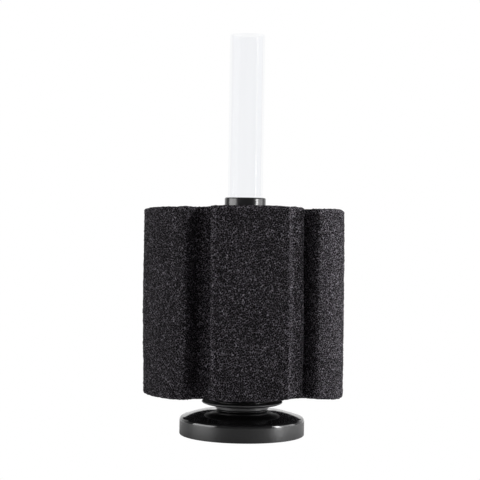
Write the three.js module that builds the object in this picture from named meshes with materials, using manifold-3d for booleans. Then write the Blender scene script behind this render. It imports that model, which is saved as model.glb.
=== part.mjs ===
// Air-driven sponge filter for an aquarium. A weighted round base carries a flanged hub, the hub
// carries a slotted strainer tube, a five-lobed foam sponge slides over the strainer, and a clear
// lift tube stands in a collar at the top. Air rises from a barbed nozzle inside the hub and draws
// water through the foam, through the slots and up the lift tube.
//
// Millimetres, +Z up. The origin is on the common axis, at the height of the foot pads' soles.
// The front of the sponge, the middle of one lobe, faces -Y.

import * as THREE from "three";
import { mergeVertices } from "three/addons/utils/BufferGeometryUtils.js";
import Module from "manifold-3d";

const wasm = await Module();
wasm.setup();

// ---------------------------------------------------------------- driving dimensions

const TUBE_OUTER_R = 12.7; // a 1 inch lift tube
const TUBE_WALL = 1.6;
const TUBE_TOP_Z = 291.8;
const TUBE_FOOT_Z = 155.4;

const SPONGE_R = 73;
const SPONGE_BOTTOM_Z = 30;
const SPONGE_TOP_Z = 165;
const LOBES = 5;
const GROOVE_HALF_WIDTH = 9.5;
const GROOVE_FLOOR_R = 54;
const GROOVE_FLOOR_FILLET = 4.5;
const LOBE_LEFT_CORNER_R = 5; // a lobe's left corner, looking at it from outside
const LOBE_RIGHT_CORNER_R = 10;

const BASE_R = 45.6;
const BASE_EDGE_Z = 0.7; // the shell's lower edge, held up by the foot pads
const BASE_RIM_Z = 13.8; // where the domed top meets the rounded rim
const BASE_WALL = 2.2;
const DOME_TOP_Z = 18.3; // where the dome meets the boss
const BOSS_R = 18.6; // the low boss in the middle of the dome, under the hub's neck
const BOSS_TOP_Z = 19.3;

const FLANGE_R = 29.5; // the dished disc under the sponge
const FLANGE_TOP_Z = 25.2;
const SEAT_R = 20.5; // the raised ring on the flange that the sponge stands on
const SEAT_TOP_Z = 29.7;
const STRAINER_R = 15;
const STRAINER_WALL = 2;
const STRAINER_TOP_Z = 152.5;
const COLLAR_TOP_Z = 173.5;

const FIT_GAP = 0.3; // clearance between pieces that push together
const SLIM_GAP = 0.15; // clearance round a gripping ring
const EDGE_BREAK = 0.4; // the small chamfer on moulded edges
const CUT_OVERRUN = 1; // how far a cutter passes the face it breaks through
const FINE_SEGMENTS = 60; // round the glossy pieces that are seen
const ROUND_SEGMENTS = 40;
const SMALL_SEGMENTS = 16;
const FASTENERS = 4; // screws, and foot pads between them

// ---------------------------------------------------------------- geometry helpers

const MERGE_DISTANCE = 1e-3;

// A closed BufferGeometry as a manifold-3d solid.
function solidOf(geometry) {
  const bare = new THREE.BufferGeometry();
  bare.setAttribute("position", geometry.getAttribute("position"));
  bare.setIndex(geometry.index);
  const merged = mergeVertices(bare, MERGE_DISTANCE);
  return new wasm.Manifold(
    new wasm.Mesh({
      numProp: 3,
      vertProperties: merged.attributes.position.array,
      triVerts: new Uint32Array(merged.index.array),
    }),
  );
}

// A manifold-3d solid as a BufferGeometry.
function geometryOf(solid) {
  const mesh = solid.getMesh();
  const geometry = new THREE.BufferGeometry();
  geometry.setAttribute("position", new THREE.BufferAttribute(mesh.vertProperties, 3));
  geometry.setIndex(new THREE.BufferAttribute(mesh.triVerts, 1));
  geometry.computeVertexNormals();
  return geometry;
}

// The body that a profile of [radius, height] points sweeps round the Z axis. The profile runs
// up its outer side and down its inner side, and closes on itself unless both ends are on the axis.
function turned(profile, segments = ROUND_SEGMENTS) {
  const points = profile.map(([radius, height]) => new THREE.Vector2(radius, height));
  const onAxis = points[0].x === 0 && points.at(-1).x === 0;
  if (!onAxis) points.push(points[0].clone());
  return new THREE.LatheGeometry(points, segments).rotateX(Math.PI / 2);
}

// A plain round bar on an axis parallel to Z.
function bar(radius, bottom, top, segments = SMALL_SEGMENTS, x = 0, y = 0) {
  const profile = [[0, bottom], [radius, bottom], [radius, top], [0, top]];
  return turned(profile, segments).translate(x, y, 0);
}

// The (x, y) of `count` places evenly spaced on a circle, the first at startAngle.
function placesOnCircle(radius, count, startAngle = 0) {
  return Array.from({ length: count }, (_, i) => {
    const angle = startAngle + (2 * Math.PI * i) / count;
    return { x: radius * Math.cos(angle), y: radius * Math.sin(angle), angle };
  });
}

// A round ring of circular section.
function ring(middleRadius, sectionRadius, height, sectionSides = 6) {
  const section = Array.from({ length: sectionSides }, (_, i) => {
    const angle = (2 * Math.PI * i) / sectionSides;
    return [
      middleRadius + sectionRadius * Math.cos(angle),
      height + sectionRadius * Math.sin(angle),
    ];
  });
  return turned(section);
}

function subtractAll(geometry, cutters) {
  const cut = (left, cutter) => left.subtract(solidOf(cutter));
  return geometryOf(cutters.reduce(cut, solidOf(geometry)));
}

function addAll(geometry, extras) {
  const join = (sum, extra) => sum.add(solidOf(extra));
  return geometryOf(extras.reduce(join, solidOf(geometry)));
}

// ---------------------------------------------------------------- materials

const finishes = {
  glossBlack: { color: 0x17171a, roughness: 0.18, metalness: 0 },
  satinBlack: { color: 0x202023, roughness: 0.4, metalness: 0 },
  foam: { color: 0x232323, roughness: 0.95, metalness: 0 },
  clear: { color: 0xeef1f5, roughness: 0.05, metalness: 0, transparent: true, opacity: 0.35 },
  rubber: { color: 0x111111, roughness: 0.85, metalness: 0 },
  castIron: { color: 0x4a4a4c, roughness: 0.7, metalness: 0.7 },
  steel: { color: 0xb8bbbe, roughness: 0.35, metalness: 0.9 },
};

const filter = new THREE.Group();

function addPart(name, geometry, finish) {
  const mesh = new THREE.Mesh(geometry, new THREE.MeshStandardMaterial(finishes[finish]));
  mesh.name = name;
  filter.add(mesh);
  return mesh;
}

// ---------------------------------------------------------------- base

const SCREW_CIRCLE_R = 30;
const PAD_CIRCLE_R = 33;
const PLATE_R = BASE_R - BASE_WALL - FIT_GAP;
const PLATE_BOTTOM_Z = 1.1;
const PLATE_TOP_Z = 3.3;
const POST_R = 3.4;
const PILOT_R = 1.75;
const SOCKET_R = 16.2; // the hole in the boss that takes the hub's spigot
const RIM_ROUNDING = 2.6;
const DOME_OUTER_R = BASE_R - RIM_ROUNDING;
const DOME_INNER_R = BOSS_R + 1;
const DOME_STEPS = 5;
const CROWN_DROP = 0.8; // how much lower the hollow's roof is over the skirt
const PILOT_ROOF = 2; // plastic left above a screw's pilot hole
const WEIGHT_BEVEL = 1;

function screwPlaces() {
  return placesOnCircle(SCREW_CIRCLE_R, FASTENERS);
}

function padPlaces() {
  return placesOnCircle(PAD_CIRCLE_R, FASTENERS, Math.PI / FASTENERS);
}

// A quarter turn from an upright wall of the given radius to a level top at the given height.
function rimArc(radius, top, rounding, steps = 5) {
  return Array.from({ length: steps + 1 }, (_, i) => {
    const angle = (Math.PI / 2) * (i / steps);
    return [radius - rounding * (1 - Math.cos(angle)), top - rounding * (1 - Math.sin(angle))];
  });
}

// The dome's height at a radius: level at the boss, and steeper towards the rim.
function domeHeight(radius) {
  const inward = (radius - DOME_INNER_R) / (DOME_OUTER_R - DOME_INNER_R);
  return DOME_TOP_Z - (DOME_TOP_Z - BASE_RIM_Z) * inward ** 2;
}

// The moulded cover: skirt, rounded rim, domed top, boss, and posts for the screws inside.
function baseShell() {
  const skirtInner = BASE_R - BASE_WALL;
  const plateFace = PLATE_TOP_Z + FIT_GAP;
  const postTop = DOME_TOP_Z - BASE_WALL;
  const dome = Array.from({ length: DOME_STEPS }, (_, i) => {
    const radius = DOME_OUTER_R + ((DOME_INNER_R - DOME_OUTER_R) * (i + 1)) / DOME_STEPS;
    return [radius, domeHeight(radius)];
  });
  const middleR = (BASE_R + BOSS_R) / 2;
  const shell = turned(
    [
      [skirtInner, BASE_EDGE_Z],
      [BASE_R - EDGE_BREAK, BASE_EDGE_Z],
      [BASE_R, BASE_EDGE_Z + EDGE_BREAK],
      ...rimArc(BASE_R, BASE_RIM_Z, RIM_ROUNDING),
      ...dome,
      [BOSS_R, DOME_TOP_Z + EDGE_BREAK],
      [BOSS_R, BOSS_TOP_Z - EDGE_BREAK],
      [BOSS_R - EDGE_BREAK, BOSS_TOP_Z],
      [SOCKET_R, BOSS_TOP_Z],
      [SOCKET_R, plateFace],
      [BOSS_R - EDGE_BREAK, plateFace],
      [BOSS_R - EDGE_BREAK, postTop],
      [middleR, domeHeight(middleR) - BASE_WALL],
      [skirtInner, BASE_RIM_Z - BASE_WALL - CROWN_DROP],
    ],
    FINE_SEGMENTS,
  );
  const posts = screwPlaces().map(({ x, y }) =>
    bar(POST_R, plateFace, postTop, SMALL_SEGMENTS, x, y),
  );
  const pilots = screwPlaces().map(({ x, y }) =>
    bar(PILOT_R, 0, postTop - PILOT_ROOF, SMALL_SEGMENTS, x, y),
  );
  return subtractAll(addAll(shell, posts), pilots);
}

// The cast ring that keeps the filter on the tank floor, with holes round the shell's posts.
function baseWeight() {
  const inner = BOSS_R + FIT_GAP;
  const outer = BASE_R - BASE_WALL - 2 * FIT_GAP;
  const bottom = PLATE_TOP_Z + FIT_GAP;
  const top = BASE_RIM_Z - BASE_WALL - CROWN_DROP - FIT_GAP;
  const cast = turned([
    [inner, bottom],
    [outer, bottom],
    [outer, top - WEIGHT_BEVEL],
    [outer - WEIGHT_BEVEL, top],
    [inner, top],
  ]);
  const holes = screwPlaces().map(({ x, y }) =>
    bar(POST_R + FIT_GAP, bottom - CUT_OVERRUN, top + CUT_OVERRUN, SMALL_SEGMENTS, x, y),
  );
  return subtractAll(cast, holes);
}

const SCREW_HEAD_R = 2.9;
const SCREW_HEAD_DEPTH = 1.4;
const SCREW_SHANK_R = 1.4;
const SCREW_TIP_Z = 10.5;
const SCREW_TIP_LENGTH = 1.6;
const SCREW_SINK = 0.05; // how far the head lies below the plate's face
const RECESS_LENGTH = 3.2;
const RECESS_WIDTH = 0.7;
const RECESS_DEPTH = 0.8;
const PAD_R = 5;
const PAD_TOP_Z = 2;
const PAD_BEVEL = 0.5;

// The disc that closes the base, with countersinks for the screws and pockets for the foot pads.
function basePlate() {
  const plate = turned([
    [0, PLATE_BOTTOM_Z],
    [PLATE_R, PLATE_BOTTOM_Z],
    [PLATE_R, PLATE_TOP_Z],
    [0, PLATE_TOP_Z],
  ]);
  const sinkR = SCREW_HEAD_R + SLIM_GAP;
  const holeR = SCREW_SHANK_R + FIT_GAP;
  const sink = [
    [0, 0],
    [sinkR, 0],
    [sinkR, PLATE_BOTTOM_Z + SLIM_GAP],
    [holeR, PLATE_BOTTOM_Z + SCREW_HEAD_DEPTH + SLIM_GAP],
    [holeR, PLATE_TOP_Z + CUT_OVERRUN],
    [0, PLATE_TOP_Z + CUT_OVERRUN],
  ];
  const countersinks = screwPlaces().map(({ x, y }) =>
    turned(sink, SMALL_SEGMENTS).translate(x, y, 0),
  );
  const pockets = padPlaces().map(({ x, y }) =>
    bar(PAD_R + SLIM_GAP, 0, PAD_TOP_Z + SLIM_GAP, SMALL_SEGMENTS, x, y),
  );
  return subtractAll(plate, [...countersinks, ...pockets]);
}

// A countersunk self-tapping screw, head down, with a cross recess. It stays clear of its pilot
// hole's wall.
function baseScrew(place) {
  const bottom = PLATE_BOTTOM_Z + SCREW_SINK;
  const screw = turned(
    [
      [0, bottom],
      [SCREW_HEAD_R, bottom],
      [SCREW_SHANK_R, bottom + SCREW_HEAD_DEPTH],
      [SCREW_SHANK_R, SCREW_TIP_Z - SCREW_TIP_LENGTH],
      [0, SCREW_TIP_Z],
    ],
    SMALL_SEGMENTS,
  );
  const recess = [0, Math.PI / 2].map((turn) =>
    new THREE.BoxGeometry(RECESS_LENGTH, RECESS_WIDTH, 2 * RECESS_DEPTH)
      .rotateZ(turn)
      .translate(0, 0, bottom),
  );
  return subtractAll(screw, recess).translate(place.x, place.y, 0);
}

// A soft disc that stands a little proud of the plate.
function footPad(place) {
  const profile = [
    [0, 0],
    [PAD_R - PAD_BEVEL, 0],
    [PAD_R, PAD_BEVEL],
    [PAD_R, PAD_TOP_Z],
    [0, PAD_TOP_Z],
  ];
  return turned(profile, SMALL_SEGMENTS).translate(place.x, place.y, 0);
}

addPart("base_shell", baseShell(), "glossBlack");
addPart("base_weight", baseWeight(), "castIron");
addPart("base_plate", basePlate(), "satinBlack");
screwPlaces().forEach((place, i) => addPart(`base_screw_${i + 1}`, baseScrew(place), "steel"));
padPlaces().forEach((place, i) => addPart(`foot_pad_${i + 1}`, footPad(place), "rubber"));

// ---------------------------------------------------------------- hub

const SPIGOT_R = SOCKET_R - FIT_GAP;
const SPIGOT_BOTTOM_Z = 5;
const SPIGOT_BEVEL = 0.8;
const NECK_R = 19.5; // the neck rests over the base's boss and carries the flange
const NECK_BOTTOM_Z = BOSS_TOP_Z + FIT_GAP;
const NECK_TOP_Z = 21.6;
const FLANGE_LIP = 1; // height of the flange's upright edge, with its lower rounding
const DISH_R = FLANGE_R - 2.6; // where the dished underside turns up to the lip
const DISH_Z = FLANGE_TOP_Z - 2.2;
const O_RING_Z = 14;
const O_RING_SECTION_R = 0.95;
const O_RING_GROOVE_R = SPIGOT_R - 2 * O_RING_SECTION_R;
const HUB_SLEEVE_R = STRAINER_R - STRAINER_WALL - FIT_GAP; // the strainer tube pushes over this
const HUB_SLEEVE_TOP_Z = 39;
const SLEEVE_BEVEL = 0.6;
const HUB_BORE_R = 10.6;
const NOZZLE_LEDGE_Z = 12;
const AIR_CHAMBER_R = 8.6;
const AIR_CHAMBER_FLOOR_Z = 7.5;

// The flanged cup under the sponge. Its spigot plugs into the base, its sleeve holds the strainer,
// and its floor closes the air chamber under the nozzle. The sponge stands on the raised seat.
function lowerHub() {
  const grooveHalf = O_RING_SECTION_R + SLIM_GAP;
  const lipBottom = FLANGE_TOP_Z - FLANGE_LIP;
  return turned(
    [
      [0, SPIGOT_BOTTOM_Z],
      [SPIGOT_R - SPIGOT_BEVEL, SPIGOT_BOTTOM_Z],
      [SPIGOT_R, SPIGOT_BOTTOM_Z + SPIGOT_BEVEL],
      [SPIGOT_R, O_RING_Z - grooveHalf],
      [O_RING_GROOVE_R, O_RING_Z - grooveHalf],
      [O_RING_GROOVE_R, O_RING_Z + grooveHalf],
      [SPIGOT_R, O_RING_Z + grooveHalf],
      [SPIGOT_R, NECK_BOTTOM_Z],
      [NECK_R - EDGE_BREAK, NECK_BOTTOM_Z],
      [NECK_R, NECK_BOTTOM_Z + EDGE_BREAK],
      [NECK_R, NECK_TOP_Z],
      [DISH_R, DISH_Z],
      [FLANGE_R - EDGE_BREAK, lipBottom - EDGE_BREAK],
      [FLANGE_R, lipBottom],
      [FLANGE_R, FLANGE_TOP_Z - EDGE_BREAK],
      [FLANGE_R - EDGE_BREAK, FLANGE_TOP_Z],
      [SEAT_R, FLANGE_TOP_Z],
      [SEAT_R - EDGE_BREAK, SEAT_TOP_Z],
      [HUB_SLEEVE_R, SEAT_TOP_Z],
      [HUB_SLEEVE_R, HUB_SLEEVE_TOP_Z - SLEEVE_BEVEL],
      [HUB_SLEEVE_R - SLEEVE_BEVEL, HUB_SLEEVE_TOP_Z],
      [HUB_BORE_R, HUB_SLEEVE_TOP_Z],
      [HUB_BORE_R, NOZZLE_LEDGE_Z],
      [AIR_CHAMBER_R, NOZZLE_LEDGE_Z],
      [AIR_CHAMBER_R, AIR_CHAMBER_FLOOR_Z],
      [0, AIR_CHAMBER_FLOOR_Z],
    ],
    FINE_SEGMENTS,
  );
}

// The rubber ring in the spigot's groove, which grips the base's socket.
function spigotRing() {
  return ring(SPIGOT_R - O_RING_SECTION_R + SLIM_GAP, O_RING_SECTION_R, O_RING_Z);
}

const NOZZLE_SEGMENTS = 24;
const SEAL_GAP = 0.1; // between the gasket and what it seals
const GASKET_BOTTOM_Z = NOZZLE_LEDGE_Z + SEAL_GAP;
const GASKET_TOP_Z = GASKET_BOTTOM_Z + 1;
const NOZZLE_DISC_R = HUB_BORE_R - FIT_GAP;
const NOZZLE_DISC_BOTTOM_Z = GASKET_TOP_Z + SEAL_GAP;
const NOZZLE_DISC_TOP_Z = NOZZLE_DISC_BOTTOM_Z + 2.4;
const NOZZLE_ROOT_R = 3.5; // the nipple widens to this at the disc
const NOZZLE_ROOT_Z = NOZZLE_DISC_TOP_Z + 3;
const NOZZLE_TIP_Z = 40;
const NOZZLE_BORE_R = 1.2;
const NIPPLE_R = 1.9; // 4 mm air line pushes over it
const BARB_R = 2.5;
const BARB_PITCH = 4;
const BARBS = 3;
const AIR_HOLES = 8;
const AIR_HOLE_R = 0.7;
const AIR_HOLE_CIRCLE_R = 6.4;
const AIR_HOLE_SEGMENTS = 8;

// A disc with a barbed nipple: air comes down the nipple into the chamber and leaves by the holes.
function airNozzle() {
  const stem = [[NIPPLE_R, NOZZLE_TIP_Z - BARBS * BARB_PITCH]];
  for (let barb = BARBS; barb > 0; barb--) {
    const foot = NOZZLE_TIP_Z - barb * BARB_PITCH;
    stem.push([BARB_R, foot], [NIPPLE_R, foot + BARB_PITCH]);
  }
  const nozzle = turned(
    [
      [NOZZLE_BORE_R, NOZZLE_DISC_BOTTOM_Z],
      [NOZZLE_DISC_R, NOZZLE_DISC_BOTTOM_Z],
      [NOZZLE_DISC_R, NOZZLE_DISC_TOP_Z],
      [NOZZLE_ROOT_R, NOZZLE_DISC_TOP_Z],
      [NIPPLE_R, NOZZLE_ROOT_Z],
      ...stem,
      [NOZZLE_BORE_R, NOZZLE_TIP_Z],
    ],
    NOZZLE_SEGMENTS,
  );
  const cutBottom = NOZZLE_DISC_BOTTOM_Z - CUT_OVERRUN;
  const cutTop = NOZZLE_DISC_TOP_Z + CUT_OVERRUN;
  const holes = placesOnCircle(AIR_HOLE_CIRCLE_R, AIR_HOLES).map(({ x, y }) =>
    bar(AIR_HOLE_R, cutBottom, cutTop, AIR_HOLE_SEGMENTS, x, y),
  );
  return subtractAll(nozzle, holes);
}

// The flat washer that seals the nozzle's disc to the hub's ledge.
function nozzleGasket() {
  const inner = AIR_CHAMBER_R + SEAL_GAP;
  return turned([
    [inner, GASKET_BOTTOM_Z],
    [NOZZLE_DISC_R, GASKET_BOTTOM_Z],
    [NOZZLE_DISC_R, GASKET_TOP_Z],
    [inner, GASKET_TOP_Z],
  ]);
}

addPart("lower_hub", lowerHub(), "satinBlack");
addPart("spigot_o_ring", spigotRing(), "rubber");
addPart("air_nozzle", airNozzle(), "satinBlack");
addPart("nozzle_gasket", nozzleGasket(), "rubber");

// ---------------------------------------------------------------- strainer

const SLOT_WIDTH = 3.2;
const SLOT_LENGTH = 17;
const SLOT_ROWS = 4;
const SLOT_COLUMNS = 8;
const SLOT_FIRST_Z = 46;
const SLOT_PITCH = 24;

// The tube inside the sponge, with rows of upright slots. Each cutter makes two opposite slots.
function strainerCage() {
  const bottom = SEAT_TOP_Z + FIT_GAP;
  const inner = STRAINER_R - STRAINER_WALL;
  const tube = turned([
    [inner, bottom],
    [STRAINER_R, bottom],
    [STRAINER_R, STRAINER_TOP_Z],
    [inner, STRAINER_TOP_Z],
  ]);
  const cutters = [];
  for (let row = 0; row < SLOT_ROWS; row++) {
    const middle = SLOT_FIRST_Z + SLOT_LENGTH / 2 + row * SLOT_PITCH;
    for (let column = 0; column < SLOT_COLUMNS / 2; column++) {
      cutters.push(
        new THREE.BoxGeometry(2 * (STRAINER_R + CUT_OVERRUN), SLOT_WIDTH, SLOT_LENGTH)
          .rotateZ((2 * Math.PI * column) / SLOT_COLUMNS)
          .translate(0, 0, middle),
      );
    }
  }
  return subtractAll(tube, cutters);
}

addPart("strainer_cage", strainerCage(), "satinBlack");

// ---------------------------------------------------------------- sponge

const SPONGE_BORE_R = STRAINER_R + FIT_GAP;
const SPONGE_ARC_STEPS = 3;
const QUARTER = Math.PI / 2;

// How far out along a groove's middle line a lobe corner's centre lies.
function cornerOut(cornerR) {
  return Math.sqrt((SPONGE_R - cornerR) ** 2 - (GROOVE_HALF_WIDTH + cornerR) ** 2);
}

// Adds one groove to a lobed outline that runs counter-clockwise seen from above: round the lobe's
// corner, down the wall, across the floor, up the other wall and round the next lobe's corner.
// Returns the angles where the lobes' round faces end and start again.
function addGroove(outline, middle) {
  const at = (out, across) => [
    out * Math.cos(middle) - across * Math.sin(middle),
    out * Math.sin(middle) + across * Math.cos(middle),
  ];
  const floorOut = GROOVE_FLOOR_R + GROOVE_FLOOR_FILLET;
  const floorAcross = GROOVE_HALF_WIDTH - GROOVE_FLOOR_FILLET;
  const fillet = GROOVE_FLOOR_FILLET;

  const rightR = LOBE_RIGHT_CORNER_R;
  const rightOut = cornerOut(rightR);
  const rightAcross = GROOVE_HALF_WIDTH + rightR;
  const start = middle - Math.atan2(rightAcross, rightOut);
  outline.absarc(...at(rightOut, -rightAcross), rightR, start, middle + QUARTER, false);

  outline.absarc(...at(floorOut, -floorAcross), fillet, middle - QUARTER, middle - Math.PI, true);
  outline.absarc(...at(floorOut, floorAcross), fillet, middle + Math.PI, middle + QUARTER, true);

  const leftR = LOBE_LEFT_CORNER_R;
  const leftOut = cornerOut(leftR);
  const leftAcross = GROOVE_HALF_WIDTH + leftR;
  const end = middle + Math.atan2(leftAcross, leftOut);
  outline.absarc(...at(leftOut, leftAcross), leftR, middle - QUARTER, end, false);
  return { start, end };
}

// The foam block: a round column with five upright grooves and a bore for the strainer.
function foamSponge() {
  const outline = new THREE.Shape();
  const pitch = (2 * Math.PI) / LOBES;
  const firstGroove = -QUARTER + pitch / 2;
  const rightCornerSpan = Math.atan2(
    GROOVE_HALF_WIDTH + LOBE_RIGHT_CORNER_R,
    cornerOut(LOBE_RIGHT_CORNER_R),
  );
  for (let i = 0; i < LOBES; i++) {
    const groove = addGroove(outline, firstGroove + i * pitch);
    const nextStart = firstGroove + (i + 1) * pitch - rightCornerSpan;
    const lobeMiddle = (groove.end + nextStart) / 2;
    outline.absarc(0, 0, SPONGE_R, groove.end, lobeMiddle, false);
    outline.absarc(0, 0, SPONGE_R, lobeMiddle, nextStart, false);
  }
  const block = new THREE.ExtrudeGeometry(outline, {
    depth: SPONGE_TOP_Z - SPONGE_BOTTOM_Z,
    curveSegments: SPONGE_ARC_STEPS,
    bevelEnabled: false,
  }).translate(0, 0, SPONGE_BOTTOM_Z);
  const bore = bar(SPONGE_BORE_R, 0, SPONGE_TOP_Z + CUT_OVERRUN, ROUND_SEGMENTS);
  return subtractAll(block, [bore]);
}

addPart("foam_sponge", foamSponge(), "foam");

// ---------------------------------------------------------------- collar and lift tube

const COLLAR_R = STRAINER_R;
const COLLAR_BOTTOM_Z = STRAINER_TOP_Z + FIT_GAP;
const COLLAR_ROUNDING = 1.1;
const COLLAR_ROUNDING_STEPS = 3;
const COLLAR_SPIGOT_R = HUB_SLEEVE_R;
const COLLAR_SPIGOT_BOTTOM_Z = COLLAR_BOTTOM_Z - 12;
const TUBE_INNER_R = TUBE_OUTER_R - TUBE_WALL;
const TUBE_SOCKET_R = TUBE_OUTER_R + SLIM_GAP;
const GRIP_RING_Z = 163;
const GRIP_RING_SECTION_R = 0.6;
const GRIP_GROOVE_R = TUBE_SOCKET_R + 2 * GRIP_RING_SECTION_R + SLIM_GAP;

// The socket on top of the strainer: a spigot below, a bore for the lift tube above, and a groove
// inside for the ring that grips the tube.
function topCollar() {
  const grooveHalf = GRIP_RING_SECTION_R + SLIM_GAP;
  const socketFloor = TUBE_FOOT_Z - FIT_GAP;
  return turned(
    [
      [TUBE_INNER_R, COLLAR_SPIGOT_BOTTOM_Z],
      [COLLAR_SPIGOT_R - EDGE_BREAK, COLLAR_SPIGOT_BOTTOM_Z],
      [COLLAR_SPIGOT_R, COLLAR_SPIGOT_BOTTOM_Z + EDGE_BREAK],
      [COLLAR_SPIGOT_R, COLLAR_BOTTOM_Z],
      [COLLAR_R, COLLAR_BOTTOM_Z],
      ...rimArc(COLLAR_R, COLLAR_TOP_Z, COLLAR_ROUNDING, COLLAR_ROUNDING_STEPS),
      [TUBE_SOCKET_R, COLLAR_TOP_Z],
      [TUBE_SOCKET_R, GRIP_RING_Z + grooveHalf],
      [GRIP_GROOVE_R, GRIP_RING_Z + grooveHalf],
      [GRIP_GROOVE_R, GRIP_RING_Z - grooveHalf],
      [TUBE_SOCKET_R, GRIP_RING_Z - grooveHalf],
      [TUBE_SOCKET_R, socketFloor],
      [TUBE_INNER_R, socketFloor],
    ],
    FINE_SEGMENTS,
  );
}

// The rubber ring that grips the lift tube.
function tubeGripRing() {
  return ring(TUBE_SOCKET_R + GRIP_RING_SECTION_R, GRIP_RING_SECTION_R, GRIP_RING_Z);
}

// The clear tube that stands in the collar and reaches towards the water's surface.
function liftTube() {
  return turned(
    [
      [TUBE_INNER_R, TUBE_FOOT_Z],
      [TUBE_OUTER_R, TUBE_FOOT_Z],
      [TUBE_OUTER_R, TUBE_TOP_Z],
      [TUBE_INNER_R, TUBE_TOP_Z],
    ],
    FINE_SEGMENTS,
  );
}

addPart("top_collar", topCollar(), "glossBlack");
addPart("tube_grip_ring", tubeGripRing(), "rubber");
addPart("lift_tube", liftTube(), "clear");

export default filter;
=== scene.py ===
import math

import bmesh
import bpy
import numpy as np
from mathutils import Matrix, Vector, noise as field


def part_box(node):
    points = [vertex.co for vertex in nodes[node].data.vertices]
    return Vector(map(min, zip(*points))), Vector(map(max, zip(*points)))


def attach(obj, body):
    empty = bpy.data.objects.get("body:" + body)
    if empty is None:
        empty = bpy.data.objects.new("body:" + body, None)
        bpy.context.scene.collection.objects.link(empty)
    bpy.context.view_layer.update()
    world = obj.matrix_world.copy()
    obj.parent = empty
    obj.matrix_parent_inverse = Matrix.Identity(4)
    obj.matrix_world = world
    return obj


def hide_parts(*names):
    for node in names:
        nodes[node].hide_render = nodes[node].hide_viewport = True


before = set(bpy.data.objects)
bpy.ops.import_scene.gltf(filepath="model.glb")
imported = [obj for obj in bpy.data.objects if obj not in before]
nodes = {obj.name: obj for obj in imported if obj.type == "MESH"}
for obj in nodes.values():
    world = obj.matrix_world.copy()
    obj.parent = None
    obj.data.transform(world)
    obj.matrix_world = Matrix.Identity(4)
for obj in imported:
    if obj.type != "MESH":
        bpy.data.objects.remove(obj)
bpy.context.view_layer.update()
MM = 0.001


# ---------------------------------------------------------------- camera

CAMERA_AZIMUTH = -8.0  # degrees from the front, so the front lobe is seen a little from its left
CAMERA_DISTANCE = 1.03  # from the object's axis
CAMERA_HEIGHT = 0.160
CAMERA_PITCH = -0.97
CAMERA_ROLL = 0.9
CAMERA_SIDESTEP = -0.0034  # the object stands a little to the right of the picture's middle
CAMERA_LENS = 105.8
SENSOR_WIDTH = 36

CAMERA_TURN = math.radians(CAMERA_AZIMUTH)
TOWARD_CAMERA = (math.sin(CAMERA_TURN), -math.cos(CAMERA_TURN), 0.0)
AWAY_FROM_CAMERA = (-math.sin(CAMERA_TURN), math.cos(CAMERA_TURN), 0.0)
CAMERA_RIGHT = (math.cos(CAMERA_TURN), math.sin(CAMERA_TURN), 0.0)


def make_camera():
    data = bpy.data.cameras.new("photo_camera")
    data.lens = CAMERA_LENS
    data.sensor_width = SENSOR_WIDTH
    data.dof.use_dof = False
    camera = bpy.data.objects.new("photo_camera", data)
    bpy.context.scene.collection.objects.link(camera)
    standoff = Vector(TOWARD_CAMERA) * CAMERA_DISTANCE
    aside = Vector(CAMERA_RIGHT) * CAMERA_SIDESTEP
    camera.location = standoff + aside + Vector((0, 0, CAMERA_HEIGHT))
    pitch = math.radians(CAMERA_PITCH)
    ahead = Vector(AWAY_FROM_CAMERA) * math.cos(pitch) + Vector((0, 0, math.sin(pitch)))
    roll = Matrix.Rotation(math.radians(CAMERA_ROLL), 3, "Z").to_quaternion()
    camera.rotation_mode = "QUATERNION"
    camera.rotation_quaternion = ahead.to_track_quat("-Z", "Y") @ roll
    bpy.context.scene.camera = camera


# ---------------------------------------------------------------- shader node helpers

def new_material(name):
    material = bpy.data.materials.new(name)
    material.use_nodes = True
    tree = material.node_tree
    shader = tree.nodes["Principled BSDF"]
    return material, tree, shader


def add_node(tree, kind, **settings):
    node = tree.nodes.new(kind)
    for key, value in settings.items():
        setattr(node, key, value)
    return node


def object_coords(tree):
    return add_node(tree, "ShaderNodeTexCoord").outputs["Object"]


def split_xyz(tree, vector):
    node = add_node(tree, "ShaderNodeSeparateXYZ")
    tree.links.new(vector, node.inputs[0])
    return node.outputs


def noise(tree, coords, scale, detail=2.0, roughness=0.5):
    node = add_node(tree, "ShaderNodeTexNoise")
    node.inputs["Scale"].default_value = scale
    node.inputs["Detail"].default_value = detail
    node.inputs["Roughness"].default_value = roughness
    tree.links.new(coords, node.inputs["Vector"])
    return node.outputs["Fac"]


def voronoi(tree, coords, scale, feature, output, randomness=1.0):
    node = add_node(tree, "ShaderNodeTexVoronoi", feature=feature)
    node.inputs["Scale"].default_value = scale
    node.inputs["Randomness"].default_value = randomness
    tree.links.new(coords, node.inputs["Vector"])
    return node.outputs[output]


def remap(tree, value, low, high, out_low, out_high):
    """A value that runs from out_low to out_high as the given one goes from low to high."""
    node = add_node(tree, "ShaderNodeMapRange")
    node.inputs["From Min"].default_value = low
    node.inputs["From Max"].default_value = high
    node.inputs["To Min"].default_value = out_low
    node.inputs["To Max"].default_value = out_high
    tree.links.new(value, node.inputs["Value"])
    return node.outputs["Result"]


def math_node(tree, operation, *values):
    """One Math node; each value is a number or another node's output."""
    node = add_node(tree, "ShaderNodeMath", operation=operation)
    for socket, value in zip(node.inputs, values):
        if isinstance(value, (int, float)):
            socket.default_value = value
        else:
            tree.links.new(value, socket)
    return node.outputs[0]


def ramp(tree, value, low, high, dark, light):
    """A colour that runs from dark to light as value goes from low to high."""
    node = add_node(tree, "ShaderNodeValToRGB")
    node.color_ramp.elements[0].position = low
    node.color_ramp.elements[0].color = (*dark, 1)
    node.color_ramp.elements[1].position = high
    node.color_ramp.elements[1].color = (*light, 1)
    tree.links.new(value, node.inputs["Fac"])
    return node.outputs["Color"]


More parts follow.
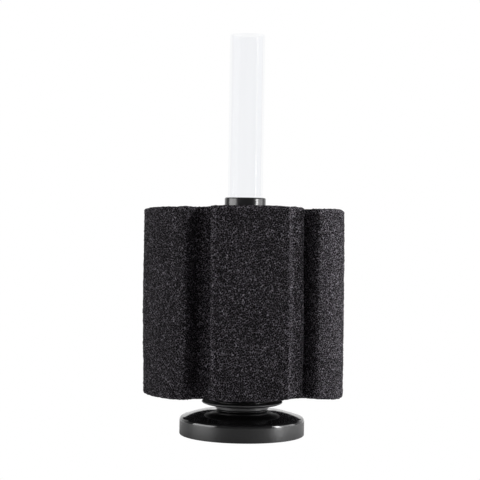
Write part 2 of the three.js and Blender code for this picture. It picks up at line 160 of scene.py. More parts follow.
def bump(tree, height, distance, under=None):
    node = add_node(tree, "ShaderNodeBump")
    node.inputs["Distance"].default_value = distance
    tree.links.new(height, node.inputs["Height"])
    if under is not None:
        tree.links.new(under, node.inputs["Normal"])
    return node.outputs["Normal"]


# ---------------------------------------------------------------- hard materials

# A noise's values lie mostly between the first two, and its middle ones between the next two.
NOISE_LOW, NOISE_HIGH = 0.3, 0.7
MIDDLE_LOW, MIDDLE_HIGH = 0.35, 0.65
SMUDGE_HIGH = 0.75

PLASTIC_IOR = 1.5
SATIN_TOP_Z = 10.5 * MM  # the base's side is satin up to here
POLISHED_Z = 12.0 * MM  # and polished from here up
BASE_SATIN = 0.33
BASE_POLISH = 0.05
BASE_WEAR = 0.04

FLANGE_Z = 25.3 * MM  # just above the hub's flange, where its seat begins
SEAT_BLEND = 0.3 * MM
HUB_BLACK = (0.095, 0.095, 0.099)
SEAT_PAINTED_SHADE = 0.07  # the seat's painted shade: its colour, as a share of the flange's
UNDERSIDE_PAINTED_SHADE = 0.1  # and the painted shade of a face that looks straight down, likewise
FLOW_DARKEST = 0.85
FLANGE_ROUGHNESS, SEAT_ROUGHNESS = 0.3, 0.8
FLANGE_SPECULAR, SEAT_SPECULAR = 0.5, 0.1
FACING_DOWN = -0.95  # the normal's height where a face counts as looking straight down
FACING_SIDE = -0.6  # and where it counts as looking to the side

TUBE_STRETCH = 0.04  # squeezes the noise's height, so that it draws out into lines along the tube
TUBE_GLOSS = (0.02, 0.05)
TUBE_TINTS = ((0.936, 0.942, 0.953), (0.950, 0.955, 0.966))
TUBE_IOR = 1.003  # far under a real tube's, which would turn its walls white in this studio
COAT_WEIGHT = 0.1
COAT_ROUGHNESS = 0.05

RUBBER_BLOOM = 1.7  # how much lighter rubber's palest spots are


def flow_marks(tree, coords):
    """Broad, faint marks from the moulding."""
    return noise(tree, coords, scale=45, detail=3)


def smudges(tree, coords):
    """Fine wear and finger marks."""
    return noise(tree, coords, scale=160, detail=5, roughness=0.6)


def surface_wave(tree, coords):
    """A moulded face's slight wave, as a normal."""
    return bump(tree, noise(tree, coords, scale=70, detail=1), 0.06 * MM)


def moulded_plastic(name, dark, light, gloss, wear, grain=0.0):
    """Moulded plastic: faint flow marks in its colour, fine wear in its gloss, a soft surface wave."""
    material, tree, shader = new_material(name)
    coords = object_coords(tree)
    colour = ramp(tree, flow_marks(tree, coords), MIDDLE_LOW, MIDDLE_HIGH, dark, light)
    tree.links.new(colour, shader.inputs["Base Color"])
    roughness = remap(tree, smudges(tree, coords), NOISE_LOW, SMUDGE_HIGH, gloss, gloss + wear)
    tree.links.new(roughness, shader.inputs["Roughness"])
    normal = surface_wave(tree, coords)
    if grain:
        normal = bump(tree, noise(tree, coords, scale=2600), grain, under=normal)
    tree.links.new(normal, shader.inputs["Normal"])
    shader.inputs["IOR"].default_value = PLASTIC_IOR
    return material


def base_plastic(name):
    """The base's plastic: polished on the dome and rim, satin on the upright side."""
    material, tree, shader = new_material(name)
    coords = object_coords(tree)
    dark = (0.017, 0.0168, 0.018)
    light = (0.021, 0.0207, 0.022)
    colour = ramp(tree, flow_marks(tree, coords), MIDDLE_LOW, MIDDLE_HIGH, dark, light)
    tree.links.new(colour, shader.inputs["Base Color"])
    height = split_xyz(tree, coords)["Z"]
    polish = remap(tree, height, SATIN_TOP_Z, POLISHED_Z, BASE_SATIN, BASE_POLISH)
    wear = remap(tree, smudges(tree, coords), NOISE_LOW, SMUDGE_HIGH, 0.0, BASE_WEAR)
    tree.links.new(math_node(tree, "ADD", polish, wear), shader.inputs["Roughness"])
    tree.links.new(surface_wave(tree, coords), shader.inputs["Normal"])
    return material


def hub_plastic(name):
    """The hub's plastic: satin below and on the flange, dull and with painted shade on the seat above
    it, and painted shade on the faces that look straight down."""
    material, tree, shader = new_material(name)
    coords = object_coords(tree)
    height = split_xyz(tree, coords)["Z"]
    # painted shade on the seat above the flange
    seat = remap(tree, height, FLANGE_Z, FLANGE_Z + SEAT_BLEND, 0, 1)
    flow = remap(tree, flow_marks(tree, coords), MIDDLE_LOW, MIDDLE_HIGH, FLOW_DARKEST, 1.0)
    level = math_node(tree, "MULTIPLY", flow, remap(tree, seat, 0, 1, 1, SEAT_PAINTED_SHADE))
    # painted shade on faces that look down
    facing = split_xyz(tree, add_node(tree, "ShaderNodeTexCoord").outputs["Normal"])["Z"]
    underside_shade = remap(tree, facing, FACING_DOWN, FACING_SIDE, UNDERSIDE_PAINTED_SHADE, 1)
    level = math_node(tree, "MULTIPLY", level, underside_shade)
    tree.links.new(ramp(tree, level, 0, 1, (0, 0, 0), HUB_BLACK), shader.inputs["Base Color"])
    roughness = remap(tree, seat, 0, 1, FLANGE_ROUGHNESS, SEAT_ROUGHNESS)
    tree.links.new(roughness, shader.inputs["Roughness"])
    specular = remap(tree, seat, 0, 1, FLANGE_SPECULAR, SEAT_SPECULAR)
    tree.links.new(specular, shader.inputs["Specular IOR Level"])
    tree.links.new(surface_wave(tree, coords), shader.inputs["Normal"])
    return material


def clear_plastic(name):
    """Thin clear tube: barely tinted, with faint drawn lines along it, a thin glossy coat, and
    hardly any bending of what is seen through it."""
    material, tree, shader = new_material(name)
    stretch = add_node(tree, "ShaderNodeMapping")
    stretch.inputs["Scale"].default_value = (1, 1, TUBE_STRETCH)
    tree.links.new(object_coords(tree), stretch.inputs["Vector"])
    lines = noise(tree, stretch.outputs["Vector"], scale=180)
    roughness = remap(tree, lines, NOISE_LOW, NOISE_HIGH, *TUBE_GLOSS)
    tree.links.new(roughness, shader.inputs["Roughness"])
    tint = ramp(tree, lines, NOISE_LOW, NOISE_HIGH, *TUBE_TINTS)
    tree.links.new(tint, shader.inputs["Base Color"])
    shader.inputs["Transmission Weight"].default_value = 1.0
    shader.inputs["IOR"].default_value = TUBE_IOR
    shader.inputs["Coat Weight"].default_value = COAT_WEIGHT
    shader.inputs["Coat Roughness"].default_value = COAT_ROUGHNESS
    shader.inputs["Coat IOR"].default_value = PLASTIC_IOR
    return material


def grained_material(name, colours, spread, tone, gloss, wear, relief, depth, metallic=0.0):
    """A material with three noises, each a scale and a detail: tone runs its colour between the
    two given, wear its roughness between the two in gloss, and relief is its surface's height."""
    material, tree, shader = new_material(name)
    coords = object_coords(tree)
    colour = ramp(tree, noise(tree, coords, *tone), *spread, *colours)
    tree.links.new(colour, shader.inputs["Base Color"])
    roughness = remap(tree, noise(tree, coords, *wear), NOISE_LOW, NOISE_HIGH, *gloss)
    tree.links.new(roughness, shader.inputs["Roughness"])
    tree.links.new(bump(tree, noise(tree, coords, *relief), depth), shader.inputs["Normal"])
    shader.inputs["Metallic"].default_value = metallic
    return material


def rubber(name, grey):
    """Matt rubber with a pale bloom in spots."""
    return grained_material(
        name,
        colours=([grey] * 3, [RUBBER_BLOOM * grey] * 3),
        spread=(MIDDLE_LOW, MIDDLE_HIGH),
        tone=(300, 3),
        gloss=(0.65, 0.85),
        wear=(900, 2),
        relief=(2200, 2),
        depth=0.05 * MM,
    )


def painted_casting(name):
    """Thin dark paint over rough cast metal."""
    return grained_material(
        name,
        colours=((0.045, 0.045, 0.05), (0.1, 0.1, 0.105)),
        spread=(NOISE_LOW, NOISE_HIGH),
        tone=(120, 4),
        gloss=(0.45, 0.75),
        wear=(500, 3),
        relief=(700, 4),
        depth=0.3 * MM,
        metallic=0.4,
    )


def stainless(name):
    """Bright turned steel."""
    return grained_material(
        name,
        colours=((0.48, 0.48, 0.49), (0.62, 0.62, 0.62)),
        spread=(NOISE_LOW, NOISE_HIGH),
        tone=(800, 3),
        gloss=(0.22, 0.4),
        wear=(1500, 3),
        relief=(1800, 2),
        depth=0.03 * MM,
        metallic=1.0,
    )


# ---------------------------------------------------------------- foam material

PORES_PER_METRE = 700  # open pores nearly one and a half millimetres across
PORE_JITTER = 0.8
PORE_TURN = (0.6, 0.45, 0.3)  # turns the pores' pattern, so that no row of them runs up or across
CELL_WALL = 0.13  # how far from a pore's edge its wall reaches, as a share of the pore
# Painted glints: random cells whose walls are made much lighter, standing in for highlights.
GLINTS_PER_METRE = 1500
GLINT_SHARPNESS = 3.0  # the higher, the fewer walls get a bright painted glint
GLINT_LEVEL = 1.2
WALL_LEVEL = 0.10  # how light every wall is without a painted glint, its own colour
SHADE_STRENGTH = 0.4  # how much of the colour a SHADE of 1 takes away, as painted shade
# painted shade: the pores' near-black stands for the shade inside the open cells, whose pattern is the
# foam's own
PORE_BLACK = (0.0018, 0.0014, 0.0020)
# the walls' grey, reached where painted glints and painted light are strongest
WALL_GREY = (0.535, 0.496, 0.562)
PATCHINESS = (0.92, 1.08)  # how much broad patches of the foam differ in brightness
PORE_ROUGHNESS, WALL_ROUGHNESS = 0.95, 0.6
FOAM_SPECULAR = 0.05
PORE_DEPTH = 0.4 * MM
SHADE = "shade"  # painted shade and light on the foam's colour at each point: above 0 is darker, below 0 lighter


def open_cell_foam(name):
    """Charcoal foam: near-black pores, which are painted shade in the open cells, between thin cell
    walls with painted glints of unequal strength. The point attribute SHADE paints shade in its
    grooves and painted light or shade on its edges."""
    material, tree, shader = new_material(name)
    turned = add_node(tree, "ShaderNodeMapping")
    turned.inputs["Rotation"].default_value = PORE_TURN
    tree.links.new(object_coords(tree), turned.inputs["Vector"])
    coords = turned.outputs["Vector"]
    edge = voronoi(tree, coords, PORES_PER_METRE, "DISTANCE_TO_EDGE", "Distance", PORE_JITTER)
    strut = remap(tree, edge, 0.0, CELL_WALL, 1, 0)
    # painted glints on a random share of the walls
    glint = add_node(tree, "ShaderNodeSeparateColor")
    tree.links.new(voronoi(tree, coords, GLINTS_PER_METRE, "F1", "Color"), glint.inputs[0])
    sharp = math_node(tree, "POWER", glint.outputs[0], GLINT_SHARPNESS)
    painted_glints = math_node(tree, "MULTIPLY", sharp, GLINT_LEVEL)
    patch = remap(tree, noise(tree, coords, scale=60), NOISE_LOW, NOISE_HIGH, *PATCHINESS)
    wall = math_node(tree, "MULTIPLY", strut, math_node(tree, "ADD", painted_glints, WALL_LEVEL))
    # painted shade and light, from the SHADE attribute
    shade = add_node(tree, "ShaderNodeAttribute", attribute_name=SHADE).outputs["Fac"]
    shadow = math_node(tree, "MULTIPLY", shade, SHADE_STRENGTH)
    painted_light_level = math_node(tree, "SUBTRACT", 1.0, shadow)
    lit = math_node(tree, "MULTIPLY", math_node(tree, "MULTIPLY", wall, patch), painted_light_level)
    tree.links.new(ramp(tree, lit, 0.0, 1.0, PORE_BLACK, WALL_GREY), shader.inputs["Base Color"])
    roughness = remap(tree, strut, 0, 1, PORE_ROUGHNESS, WALL_ROUGHNESS)
    tree.links.new(roughness, shader.inputs["Roughness"])
    height = math_node(tree, "ADD", strut, painted_glints)
    tree.links.new(bump(tree, height, PORE_DEPTH), shader.inputs["Normal"])
    shader.inputs["Specular IOR Level"].default_value = FOAM_SPECULAR
    return material


# ---------------------------------------------------------------- CAD nodes

SMOOTH_UNDER = 32  # degrees between two faces that are shaded as one
WELD_DISTANCE = 0.001 * MM
FASTENERS = 4


def smoothing_tree(degrees):
    """Geometry nodes that join the facets' corners and shade them smooth, apart from sharp edges."""
    tree = bpy.data.node_groups.new(f"smooth_under_{degrees}", "GeometryNodeTree")
    tree.interface.new_socket("Geometry", in_out="INPUT", socket_type="NodeSocketGeometry")
    tree.interface.new_socket("Geometry", in_out="OUTPUT", socket_type="NodeSocketGeometry")
    source = tree.nodes.new("NodeGroupInput")
    result = tree.nodes.new("NodeGroupOutput")
    flat = tree.nodes.new("GeometryNodeRemoveAttribute")
    flat.inputs["Name"].default_value = "custom_normal"
    weld = tree.nodes.new("GeometryNodeMergeByDistance")
    weld.inputs["Distance"].default_value = WELD_DISTANCE
    faces = add_node(tree, "GeometryNodeSetShadeSmooth", domain="FACE")
    edges = add_node(tree, "GeometryNodeSetShadeSmooth", domain="EDGE")
    angle = tree.nodes.new("GeometryNodeInputMeshEdgeAngle")
    soft = add_node(tree, "FunctionNodeCompare", operation="LESS_THAN")
    soft.inputs["B"].default_value = math.radians(degrees)
    link = tree.links.new
    link(source.outputs[0], flat.inputs["Geometry"])
    link(flat.outputs["Geometry"], weld.inputs["Geometry"])
    link(weld.outputs["Geometry"], faces.inputs["Geometry"])
    link(faces.outputs["Geometry"], edges.inputs["Geometry"])
    link(angle.outputs["Unsigned Angle"], soft.inputs["A"])
    link(soft.outputs["Result"], edges.inputs["Shade Smooth"])
    link(edges.outputs["Geometry"], result.inputs[0])
    return tree


def dress(names, material, smoothing):
    """Gives the material and smooth shading to the named CAD nodes."""
    for name in names:
        node = nodes[name]
        for slot in node.material_slots:
            slot.material = material
        node.modifiers.new("smooth_shading", "NODES").node_group = smoothing


def numbered(name):
    """The names of a repeated node's copies."""
    return [f"{name}_{i}" for i in range(1, FASTENERS + 1)]


def dress_cad_nodes():
    smoothing = smoothing_tree(SMOOTH_UNDER)
    collar_black = moulded_plastic(
        "collar_black",
        dark=(0.026, 0.025, 0.028),
        light=(0.032, 0.031, 0.034),
        gloss=0.19,
        wear=0.06,
    )
    cage_black = moulded_plastic(
        "cage_black",
        dark=(0.014, 0.014, 0.014),
        light=(0.022, 0.022, 0.022),
        gloss=0.35,
        wear=0.15,
        grain=0.02 * MM,
    )
    nozzle_grey = moulded_plastic(
        "nozzle_grey",
        dark=(0.03, 0.03, 0.033),
        light=(0.045, 0.045, 0.048),
        gloss=0.32,
        wear=0.15,
    )
    seals = ["spigot_o_ring", "nozzle_gasket", "tube_grip_ring"]
    dress(["base_shell"], base_plastic("base_black"), smoothing)
    dress(["top_collar"], collar_black, smoothing)
    dress(["lower_hub"], hub_plastic("hub_black"), smoothing)
    dress(["strainer_cage", "base_plate"], cage_black, smoothing)
    dress(["air_nozzle"], nozzle_grey, smoothing)
    dress(["base_weight"], painted_casting("weight_paint"), smoothing)
    dress(numbered("base_screw"), stainless("screw_steel"), smoothing)
    dress(numbered("foot_pad"), rubber("pad_rubber", 0.02), smoothing)
    dress(seals, rubber("seal_rubber", 0.012), smoothing)
    dress(["lift_tube"], clear_plastic("tube_clear"), smoothing)


# ---------------------------------------------------------------- the sponge's outline

def reach(node):
    """How far a CAD node reaches along X, to a hundredth of a millimetre."""
    return round(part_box(node)[1].x, 5)


SPONGE_R = reach("foam_sponge") - 0.3 * MM  # leaves room for the foam's unevenness
BORE_R = reach("strainer_cage") + 0.45 * MM  # clear of the strainer
FLOOR_R = SPONGE_R - 18.2 * MM  # the grooves are this deep
FLOOR_FILLET = 4 * MM
CORNER_STEPS = 12
FILLET_STEPS = 6
LOBE_STEPS = 24
BORE_STEPS = 96
FRONT = -math.pi / 2

# Each groove, in hand-cut sizes: degrees from the front, the half widths on its clockwise and
# counter-clockwise side, seen from above, and the radii of the lobes' corners there, in
# millimetres. The first and the last are the narrow and the wide one that show at the front.
GROOVES = [
    (33.7, 6.8, 3.4, 0, 2.0),
    (108, 8.5, 9.0, 7.0, 5.0),
    (180, 9.5, 8.5, 8.0, 4.0),
    (252, 8.0, 9.5, 7.0, 5.0),
    (326.4, 10.0, 8.3, 2.2, 1.6),
]
# The front lobe's right corner has a ridge and a shallow step: degrees from the front, and radius
# in millimetres. It takes the place of the corner whose radius above is 0.
STEPPED_CORNER = [
    (15.9, 73.0),
    (17.0, 73.2),
    (19.8, 70.7),
    (22.8, 70.6),
    (26.0, 70.4),
    (27.9, 70.6),
]


def polar(radius, angle):
    return (radius * math.cos(angle), radius * math.sin(angle))


def arc(centre, radius, start, end, steps):
    """Points on an arc, both ends included, as an array of x, y."""
    angles = np.linspace(start, end, steps + 1)
    xs = centre[0] + radius * np.cos(angles)
    ys = centre[1] + radius * np.sin(angles)
    return np.stack([xs, ys], 1)


def lobe_corner(angle, out, across, side, half, corner):
    """The rounded corner of the lobe on one side of a groove, from the lobe to the groove's wall."""
    along = math.sqrt((SPONGE_R - corner) ** 2 - (half + corner) ** 2)
    centre = out * along + across * side * (half + corner)
    tangent = math.atan2(centre[1], centre[0])
    wall = angle - side * math.pi / 2
    turn = (wall - tangent + math.pi) % (2 * math.pi) - math.pi
    return arc(centre, corner, tangent, tangent + turn, CORNER_STEPS)


def groove_points(angle, clockwise_half, counter_half, clockwise_corner, counter_corner):
    """One groove of the outline, running counter-clockwise: a lobe's corner, the wall, the floor,
    the other wall and the next lobe's corner."""
    out = np.array([math.cos(angle), math.sin(angle)])
    across = np.array([-out[1], out[0]])
    sides = ((-1, clockwise_half, clockwise_corner), (1, counter_half, counter_corner))
    parts = []
    for side, half, corner in sides:
        if corner:
            upper = lobe_corner(angle, out, across, side, half, corner)
        else:
            upper = np.array([polar(r * MM, FRONT + math.radians(d)) for d, r in STEPPED_CORNER])
        centre = out * (FLOOR_R + FLOOR_FILLET) + across * side * (half - FLOOR_FILLET)
        wall = angle + side * math.pi / 2
        floor = angle + side * math.pi
        lower = arc(centre, FLOOR_FILLET, wall, floor, FILLET_STEPS)
        points = np.concatenate([upper, lower])
        parts.append(points if side < 0 else points[::-1])
    return np.concatenate(parts)


def sponge_outline():
    """The foam's outline, counter-clockwise: its grooves with a lobe's round face between each two."""
    parts = []
    for degrees, *sizes in GROOVES:
        parts.append(groove_points(FRONT + math.radians(degrees), *(size * MM for size in sizes)))
    outline = []
    for here, after in zip(parts, parts[1:] + parts[:1]):
        outline.append(here)
        start = math.atan2(here[-1][1], here[-1][0])
        sweep = (math.atan2(after[0][1], after[0][0]) - start) % (2 * math.pi)
        outline.append(arc((0, 0), SPONGE_R, start, start + sweep, LOBE_STEPS)[1:-1])
    return np.concatenate(outline)


# ---------------------------------------------------------------- the sponge's mesh

MESH_SPACING = 1.15 * MM  # a little finer than the open cells
SOFTENING_ROUNDS = 3
SOFTENING = 0.5

# Slow unevenness of the cut: bumps to the metre, height, and where in the random field it starts.
CUT_WAVES = [(20, 0.6 * MM, (3, 1, 7)), (75, 0.25 * MM, (11, 5, 2))]
CELL_BUMPS = (520, 0.22 * MM, (0, 9, 4))
GRIT_HEIGHT = 0.17 * MM
GRIT_SEED = 7
SEAT_CLEAR_R = 21 * MM  # the foam stays level over the hub's seat, inside this radius
SMOOTH_SEAT_R = SEAT_CLEAR_R - 3 * MM  # it is smooth inside this radius
ROUGH_SEAT_R = SEAT_CLEAR_R + 4 * MM  # and as rough as its sides outside this one
SEAT_PITTING = 0.2  # how deep its cells are near the seat, as a share of those on its sides
TILT_R = 45 * MM  # and its ends are fully tilted outside this one

SWELL = 0.5 * MM  # how far the sides bulge
SWELL_Z = 100 * MM  # the height where they bulge most
SWELL_SPAN = 45 * MM
SWELL_START_R, SWELL_FULL_R = 40 * MM, 60 * MM

TOP_RISE = 3.4 * MM  # how far the top edge stands up at the camera's side
BOTTOM_RISE = 3.6 * MM  # and the bottom edge
TOP_SETTLE = 0.8 * MM  # how far the top has sunk all round
LEAN = 1.1 * MM  # how far the top leans to the camera's left, against the bottom
# How far a spot on the edge stands up or hangs down: degrees from the camera's side, millimetres.
TOP_EDGE = [
    (-55, -0.3), (-42, -0.6), (-30, 0), (25, 0), (45, -1.0),
    (55, -0.7), (65, 0.4), (75, 0.8), (100, 0),
]
BOTTOM_EDGE = [
    (-73, 0), (-52, -0.9), (-42, -1.1), (-34, -0.6), (-20, 0), (15, 0),
    (29, 1.6), (36, 1.6), (46, 1.2), (52, 0.3), (64, -0.7), (75, -1.3), (110, 0),
]

GROOVE_SHADE_FULL_R = 55.5 * MM  # painted shade in a groove is darkest inside this radius
GROOVE_SHADE_GONE_R = 65 * MM  # and gone outside this one, where the foam is as light as the rest
SHADE_START_R, SHADE_FULL_R = 30 * MM, 45 * MM  # nothing is shaded near the bore
END_MARGIN = 0.03  # nor near the top and bottom, as a share of the height
PAINTED_FLOOR_LIGHT = (-46, -32)  # painted light: the left groove's floor grows lighter between these angles from the front
PAINTED_FLOOR_LIGHT_GAIN = 3  # how many times a groove's painted shade is taken away there, so that it turns to painted light
# Painted highlights and painted shade in soft bands down the sponge's edges: degrees from the front,
# spread, and how much darker (below 0, lighter).
PAINTED_EDGE_LIGHT_AND_SHADE = [(-25.2, 1.0, -2.4), (18.2, 1.8, -1.3), (26.8, 1.6, 1.2)]
PAINTED_EDGE_R = 69 * MM  # the painted bands lie outside this radius
RIM_LIGHT_DEPTH = 2.4 * MM  # painted rim light: the sides' top edge is made lighter, fading over this depth
PAINTED_RIM_LIGHT = 3.0  # how much lighter the painted rim light is, as SHADE counts


def closed_block(outline, hole, bottom, top):
    """A mesh of the outline less the hole, extruded from bottom to top."""
    bm = bmesh.new()
    for points in (outline, hole):
        loop = [bm.verts.new((x, y, bottom)) for x, y in points]
        for here, after in zip(loop, loop[1:] + loop[:1]):
            bm.edges.new((here, after))
    bmesh.ops.triangle_fill(bm, use_beauty=True, edges=bm.edges[:])
    made = bmesh.ops.extrude_face_region(bm, geom=bm.faces[:])
    raised = [v for v in made["geom"] if isinstance(v, bmesh.types.BMVert)]
    bmesh.ops.translate(bm, verts=raised, vec=(0, 0, top - bottom))
    bmesh.ops.recalc_face_normals(bm, faces=bm.faces[:])
    mesh = bpy.data.meshes.new("block")
    bm.to_mesh(mesh)
    bm.free()
    return mesh


def evened(mesh, name):
    """The same solid as an even mesh with softened edges."""
    holder = bpy.data.objects.new(name + "_making", mesh)
    bpy.context.scene.collection.objects.link(holder)
    remesh = holder.modifiers.new("even", "REMESH")
    remesh.mode = "VOXEL"
    remesh.voxel_size = MESH_SPACING
    soften = holder.modifiers.new("soften", "SMOOTH")
    soften.factor = SOFTENING
    soften.iterations = SOFTENING_ROUNDS
    graph = bpy.context.evaluated_depsgraph_get()
    result = bpy.data.meshes.new_from_object(holder.evaluated_get(graph), depsgraph=graph)
    result.name = name
    bpy.data.objects.remove(holder)
    return result


def smooth_step(value, low, high):
    t = np.clip((value - low) / (high - low), 0, 1)
    return t * t * (3 - 2 * t)


def hump(value, centre, spread):
    """1 at the centre, and smoothly down to 0 on both sides of it."""
    return np.exp(-(((value - centre) / spread) ** 2))


def sampled(points, scale, height, start):
    """A smooth random field, about -height to height, at each point."""
    shift = Vector(start)
    return np.array([field.noise(Vector(p) * scale + shift) for p in points]) * height


def edge_height(table, bearing):
    """The height that an edge's table gives at each angle."""
    spots, heights = zip(*table)
    return np.interp(bearing, spots, heights) * MM


def vertex_values(mesh, name):
    """One of the mesh's vertex vectors, as an array with a row for each vertex."""
    values = np.empty(len(mesh.vertices) * 3)
    mesh.vertices.foreach_get(name, values)
    return values.reshape(-1, 3)


def unevenness(co, radius):
    """How far each point stands out from the clean cut: slow waves, open cells and grit."""
    clear = smooth_step(radius, SMOOTH_SEAT_R, ROUGH_SEAT_R)
    slow = sum(sampled(co, *wave) for wave in CUT_WAVES)
    cells = sampled(co, *CELL_BUMPS)
    grit = np.random.default_rng(GRIT_SEED).normal(0, GRIT_HEIGHT, len(co))
    seat_pits = np.where(clear < 0.5, -np.abs(cells) * SEAT_PITTING, 0)
    return clear * (slow + cells + grit) + seat_pits


def swell_out(co, radius):
    """A slight bulge of the sides, as a shift in x and y."""
    sides = smooth_step(radius, SWELL_START_R, SWELL_FULL_R)
    swell = SWELL * hump(co[:, 2], SWELL_Z, SWELL_SPAN) * sides
    return co[:, :2] / radius[:, None] * swell[:, None]


def settling(co, radius, up):
    """How the cut ends tilt and wander and the whole leans, as a shift in x, y and z."""
    forward = co @ np.array(TOWARD_CAMERA) / SPONGE_R
    right = co @ np.array(CAMERA_RIGHT) / SPONGE_R
    bearing = np.degrees(np.arctan2(right, forward))
    rise = (BOTTOM_RISE * (1 - up) + TOP_RISE * up) * forward
    edges = edge_height(BOTTOM_EDGE, bearing) * (1 - up) + edge_height(TOP_EDGE, bearing) * up
    loose = smooth_step(radius, SEAT_CLEAR_R, TILT_R)
    shift = (LEAN * (0.5 - up) * loose)[:, None] * np.array(CAMERA_RIGHT)
    shift[:, 2] += (rise - TOP_SETTLE * up + edges) * loose
    return shift


def foam_shade(co, normal, radius, up):
    """The SHADE attribute: painted shade in the grooves, painted light on the left groove's floor,
    painted highlights and shade in soft bands down the edges, and painted rim light along the top edge.
    """
    from_front = np.degrees(np.arctan2(co[:, 0], -co[:, 1]))
    # painted light on the left groove's floor
    lit = smooth_step(from_front, *PAINTED_FLOOR_LIGHT) * (from_front < 0)
    # painted shade deep in the grooves
    groove_shade = 1 - smooth_step(radius, GROOVE_SHADE_FULL_R, GROOVE_SHADE_GONE_R)
    off_bore = smooth_step(radius, SHADE_START_R, SHADE_FULL_R)
    off_ends = smooth_step(up * (1 - up), 0.0, END_MARGIN)
    shade = groove_shade * (1 - PAINTED_FLOOR_LIGHT_GAIN * lit) * off_bore * off_ends
    # painted highlights and shade along the edges
    for centre, spread, amount in PAINTED_EDGE_LIGHT_AND_SHADE:
        shade += amount * hump(from_front, centre, spread) * (radius > PAINTED_EDGE_R)
    # painted rim light along the top edge
    rim_light = hump(co[:, 2], co[:, 2].max(), RIM_LIGHT_DEPTH)
    shade -= PAINTED_RIM_LIGHT * rim_light * (1 - np.abs(normal[:, 2]))
    return shade.astype(np.float32)


def weather_foam(mesh):
    """Makes the clean block into hand-cut foam that has been handled, and stores the painted shade
    and light for its colour.
    """
    co = vertex_values(mesh, "co")
    normal = vertex_values(mesh, "normal")
    radius = np.hypot(co[:, 0], co[:, 1])
    bottom, top = co[:, 2].min(), co[:, 2].max()
    up = (co[:, 2] - bottom) / (top - bottom)
    moved = co + normal * unevenness(co, radius)[:, None]
    moved[:, :2] += swell_out(co, radius)
    moved += settling(co, radius, up)
    mesh.vertices.foreach_set("co", moved.ravel())
    # the painted shade and light that the foam's colour reads
    shade = mesh.attributes.new(SHADE, "FLOAT", "POINT")
    shade.data.foreach_set("value", foam_shade(co, normal, radius, up))
    mesh.update()


def make_sponge():
    low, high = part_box("foam_sponge")
    hole = arc((0, 0), BORE_R, 0, 2 * math.pi, BORE_STEPS)[:-1]
    block = closed_block(sponge_outline(), hole, low.z, high.z)
    mesh = evened(block, "sponge_foam")
    weather_foam(mesh)
    mesh.shade_smooth()
    sponge = bpy.data.objects.new("sponge_foam", mesh)
    bpy.context.scene.collection.objects.link(sponge)
    mesh.materials.append(open_cell_foam("charcoal_foam"))
    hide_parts("foam_sponge")
    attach(sponge, "sponge")


# ---------------------------------------------------------------- floor

FLOOR_REACH = 3.0
FLOOR_LEVEL = -0.05 * MM
FLOOR_TONES = ([0.93] * 3, [0.95] * 3)
FLOOR_ROUGHNESS = 0.9
WHITE = (1, 1, 1, 1)
FLOOR_GLOW = 0.15  # how brightly the floor glows to light the object, a painted glow apart from its own diffuse light
SIDE_GLOW = 0.40  # and how brightly it glows at the object's two sides
SIDE_START, SIDE_END = 0.03, 0.15  # how far to the side the floor grows from one to the other


def seen_directly(tree):
    """1 for what the camera sees, also through the clear tube, and 0 for light on its way to the
    object."""
    path = add_node(tree, "ShaderNodeLightPath")
    return math_node(tree, "MAXIMUM", path.outputs["Is Camera Ray"], path.outputs["Is Transmission Ray"])


def share_along(tree, vector, direction):
    """How far a vector runs along a direction."""
    node = add_node(tree, "ShaderNodeVectorMath", operation="DOT_PRODUCT")
    tree.links.new(vector, node.inputs[0])
    node.inputs[1].default_value = direction
    return node.outputs["Value"]


def floor_white():
    """A matt pale floor that glows to light the object, more at its two sides, and plain white where it
    is seen directly.
    """
    material, tree, shader = new_material("floor_white")
    coords = object_coords(tree)
    tone = noise(tree, coords, scale=3)
    colour = ramp(tree, tone, NOISE_LOW, NOISE_HIGH, *FLOOR_TONES)
    tree.links.new(colour, shader.inputs["Base Color"])
    shader.inputs["Roughness"].default_value = FLOOR_ROUGHNESS
    shader.inputs["Specular IOR Level"].default_value = 0.0
    shader.inputs["Emission Color"].default_value = WHITE
    # painted glow, stronger at the object's two sides
    aside = math_node(tree, "ABSOLUTE", share_along(tree, coords, CAMERA_RIGHT))
    glow = remap(tree, aside, SIDE_START, SIDE_END, FLOOR_GLOW, SIDE_GLOW)
    tree.links.new(glow, shader.inputs["Emission Strength"])
    white = add_node(tree, "ShaderNodeEmission")
    choice = add_node(tree, "ShaderNodeMixShader")
    tree.links.new(seen_directly(tree), choice.inputs["Fac"])
    tree.links.new(shader.outputs["BSDF"], choice.inputs[1])
    tree.links.new(white.outputs["Emission"], choice.inputs[2])
    tree.links.new(choice.outputs["Shader"], tree.nodes["Material Output"].inputs["Surface"])
    return material


def make_floor():
    mesh = bpy.data.meshes.new("floor")
    signs = ((-1, -1), (1, -1), (1, 1), (-1, 1))
    corners = [(x * FLOOR_REACH, y * FLOOR_REACH, FLOOR_LEVEL) for x, y in signs]
    mesh.from_pydata(corners, [], [(0, 1, 2, 3)])
    floor = bpy.data.objects.new("floor", mesh)
    bpy.context.scene.collection.objects.link(floor)
    mesh.materials.append(floor_white())


# ---------------------------------------------------------------- light

LAMP_DISTANCE = 1.1
LAMP_HEIGHT = 0.38
LAMP_TALL = 0.8
LAMP_AIM = Vector((0, 0, 0.1))  # the middle of the sponge

# The studio is white behind the object, as the camera looks, and grey at the sides and in front.
ROOM_LEVEL = 0.18
BACKDROP_EDGE = 0.45  # cosine of the angle from straight behind where the grey is reached
BACKDROP_CORE = 0.85  # and where the white is


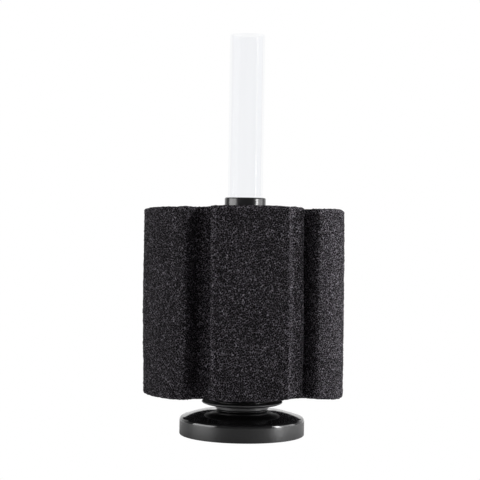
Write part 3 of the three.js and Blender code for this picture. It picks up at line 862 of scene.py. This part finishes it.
def softbox(name, azimuth, width, power, distance=LAMP_DISTANCE, diffuse=True, glossy=True):
    """A rectangular lamp, azimuth degrees from the camera's side, aimed at the sponge. It lights
    only matt surfaces without glossy, and only shows in glossy ones without diffuse."""
    data = bpy.data.lights.new(name, "AREA")
    data.shape = "RECTANGLE"
    data.size = width
    data.size_y = LAMP_TALL
    data.energy = power
    lamp = bpy.data.objects.new(name, data)
    bpy.context.scene.collection.objects.link(lamp)
    lamp.visible_camera = False
    lamp.visible_transmission = False
    lamp.visible_diffuse = diffuse
    lamp.visible_glossy = glossy
    turn = math.radians(CAMERA_AZIMUTH + azimuth)
    lamp.location = (distance * math.sin(turn), -distance * math.cos(turn), LAMP_HEIGHT)
    lamp.rotation_euler = (LAMP_AIM - lamp.location).to_track_quat("-Z", "Y").to_euler()


def make_lamps():
    softbox("right_softbox", azimuth=113, width=0.5, power=12.7, glossy=False)
    softbox("left_softbox", azimuth=-60, width=0.4, power=1.9, glossy=False)
    softbox("front_softbox", azimuth=50, width=0.4, power=0.2, glossy=False)
    softbox("right_strip", azimuth=70, width=0.2, power=11, diffuse=False)
    softbox("right_panel", azimuth=88, width=1.1, power=10, distance=1.15, diffuse=False)
    softbox("left_panel", azimuth=-76, width=1.0, power=14.7, diffuse=False)


def make_studio():
    """The world: a white backdrop in a grey room, and plain white where it is seen directly."""
    world = bpy.data.worlds.new("studio")
    bpy.context.scene.world = world
    world.use_nodes = True
    tree = world.node_tree
    background = tree.nodes["Background"]
    background.inputs["Color"].default_value = WHITE
    direction = add_node(tree, "ShaderNodeTexCoord").outputs["Generated"]
    behind = share_along(tree, direction, AWAY_FROM_CAMERA)
    studio = remap(tree, behind, BACKDROP_EDGE, BACKDROP_CORE, ROOM_LEVEL, 1.0)
    level = add_node(tree, "ShaderNodeMix", data_type="FLOAT")
    tree.links.new(seen_directly(tree), level.inputs["Factor"])
    tree.links.new(studio, level.inputs["A"])
    level.inputs["B"].default_value = 1.0
    tree.links.new(level.outputs["Result"], background.inputs["Strength"])
    bpy.context.scene.view_settings.view_transform = "Standard"


make_camera()
dress_cad_nodes()
make_sponge()
make_floor()
make_studio()
make_lamps()
